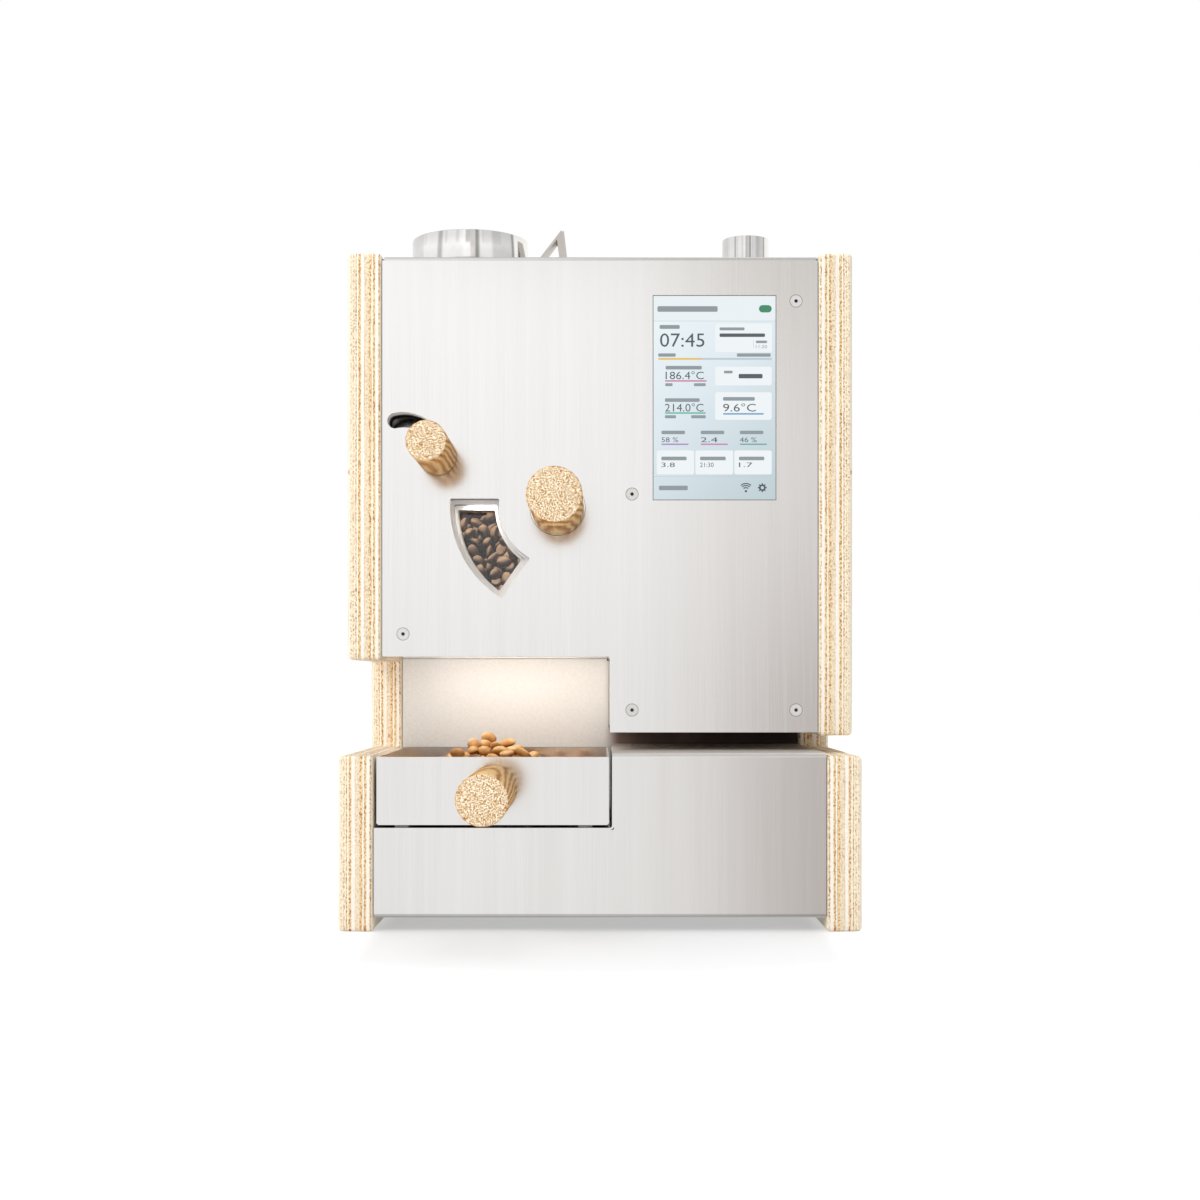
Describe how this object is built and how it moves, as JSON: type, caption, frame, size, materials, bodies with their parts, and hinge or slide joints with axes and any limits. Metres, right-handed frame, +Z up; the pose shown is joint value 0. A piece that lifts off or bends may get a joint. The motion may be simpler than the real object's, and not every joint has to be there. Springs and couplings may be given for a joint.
{
  "type": "home coffee roaster",
  "caption": "Countertop drum coffee roaster with plywood sides, stainless covers, lever gate, trier, display, slide-gated hopper and a bean tray in its base.",
  "frame": {"origin": "middle of the bounding box, at table level", "axes": "+X to the right seen from the front, +Y to the back, +Z up"},
  "size_m": [0.375, 0.5126, 0.5555],
  "materials": {
    "plywood": "oiled birch plywood",
    "oak": "oiled oak",
    "brushed_steel": "fine vertical brushing",
    "polished_steel": "polished stainless steel",
    "drum_steel": "machined, heat-tinted",
    "dark_steel": "black",
    "bezel_white": "satin white",
    "glass": "clear",
    "display": "gloss glass over a lit panel",
    "lamp": "frosted, lit",
    "brass": "turned",
    "aluminium": "as cast",
    "ceramic_wool": "felted ceramic wool",
    "black_plastic": "matt",
    "white_plastic": "matt",
    "circuit_green": "solder mask"
  },
  "bodies": {
    "housing": {"base_cover": "brushed_steel", "bean_probe": "polished_steel", "belly_pan": "brushed_steel", "blower": "aluminium", "bulkhead": "brushed_steel", "chamber_shell": "brushed_steel", "control_board": "circuit_green", "cooling_fan": "black_plastic", "cover_pillars": "polished_steel", "cover_screws": "polished_steel", "discharge_chute": "brushed_steel", "display_glass": "display", "display_module": "black_plastic", "drive_bracket": "aluminium", "drum_motor": "dark_steel", "exhaust_duct": "brushed_steel", "exhaust_stack": "polished_steel", "front_cover": "brushed_steel", "gate_guides": "drum_steel", "heater_coil": "drum_steel", "hopper_cup": "polished_steel", "inlet_chute": "brushed_steel", "inlet_funnel": "brushed_steel", "insulation": "ceramic_wool", "left_side_panel": "plywood", "lever_bush": "brass", "power_entry": "black_plastic", "power_supply": "aluminium", "rear_cover": "brushed_steel", "rear_plate": "brushed_steel", "rear_rails": "brushed_steel", "rear_screws": "polished_steel", "recess_back": "brushed_steel", "recess_lamp": "lamp", "right_side_panel": "plywood", "shaft_bearings": "drum_steel", "sight_glass": "glass", "slide_frame": "brushed_steel", "slot_guide": "bezel_white", "tray_glides": "white_plastic", "tray_well": "brushed_steel", "trier_bushing": "polished_steel", "window_bezel": "bezel_white"},
    "drum": {"drum": "drum_steel", "drum_shaft": "polished_steel", "drum_gear": "drum_steel"},
    "motor_shaft": {"motor_pinion": "drum_steel"},
    "gate_lever": {"lever_shaft": "polished_steel", "lever_knob": "oak"},
    "gate": {"discharge_gate": "drum_steel"},
    "trier": {"trier_tube": "polished_steel", "trier_knob": "oak"},
    "tray": {"tray": "brushed_steel", "tray_screen": "brushed_steel", "tray_knob": "oak", "tray_knob_screw": "polished_steel"},
    "hopper_gate": {"hopper_slide": "brushed_steel"},
    "blower_wheel": {"blower_rotor": "aluminium"},
    "fan_wheel": {"fan_rotor": "black_plastic"},
    "mains_rocker": {"switch_rocker": "black_plastic"}
  },
  "joints": [
    {"name": "drum_spin", "type": "hinge", "parent": "housing", "child": "drum", "pos_m": [-0.0304, 0.0059, 0.3096], "axis": [0, 1, 0], "continuous": true},
    {"name": "motor_spin", "type": "hinge", "parent": "housing", "child": "motor_shaft", "pos_m": [0.0256, 0.1059, 0.3096], "axis": [0, 1, 0], "continuous": true},
    {"name": "lever_turn", "type": "hinge", "parent": "housing", "child": "gate_lever", "pos_m": [-0.1461, -0.0541, 0.3478], "axis": [0, -1, 0], "range_deg": [0, 108]},
    {"name": "gate_lift", "type": "slide", "parent": "housing", "child": "gate", "axis": [0, 0, 1], "range_m": [0, 0.01885]},
    {"name": "trier_slide", "type": "slide", "parent": "housing", "child": "trier", "axis": [0, -1, 0], "range_m": [0, 0.12]},
    {"name": "tray_slide", "type": "slide", "parent": "housing", "child": "tray", "axis": [0, -1, 0], "range_m": [0, 0.165]},
    {"name": "hopper_gate_slide", "type": "slide", "parent": "housing", "child": "hopper_gate", "axis": [1, 0, 0], "range_m": [0, 0.07]},
    {"name": "blower_spin", "type": "hinge", "parent": "housing", "child": "blower_wheel", "pos_m": [0.095, 0.0959, 0.226], "axis": [0, 1, 0], "continuous": true},
    {"name": "fan_spin", "type": "hinge", "parent": "housing", "child": "fan_wheel", "pos_m": [-0.07665, 0.2359, 0.058], "axis": [0, 1, 0], "continuous": true},
    {"name": "rocker_tilt", "type": "hinge", "parent": "housing", "child": "mains_rocker", "pos_m": [0.133, 0.2494, 0.06], "axis": [1, 0, 0], "range_deg": [0, 20]}
  ],
  "couplings": [
    {"joint": "motor_spin", "follows": "drum_spin", "ratio": -3},
    {"joint": "gate_lift", "follows": "lever_turn", "m_per_rad": 0.01}
  ]
}
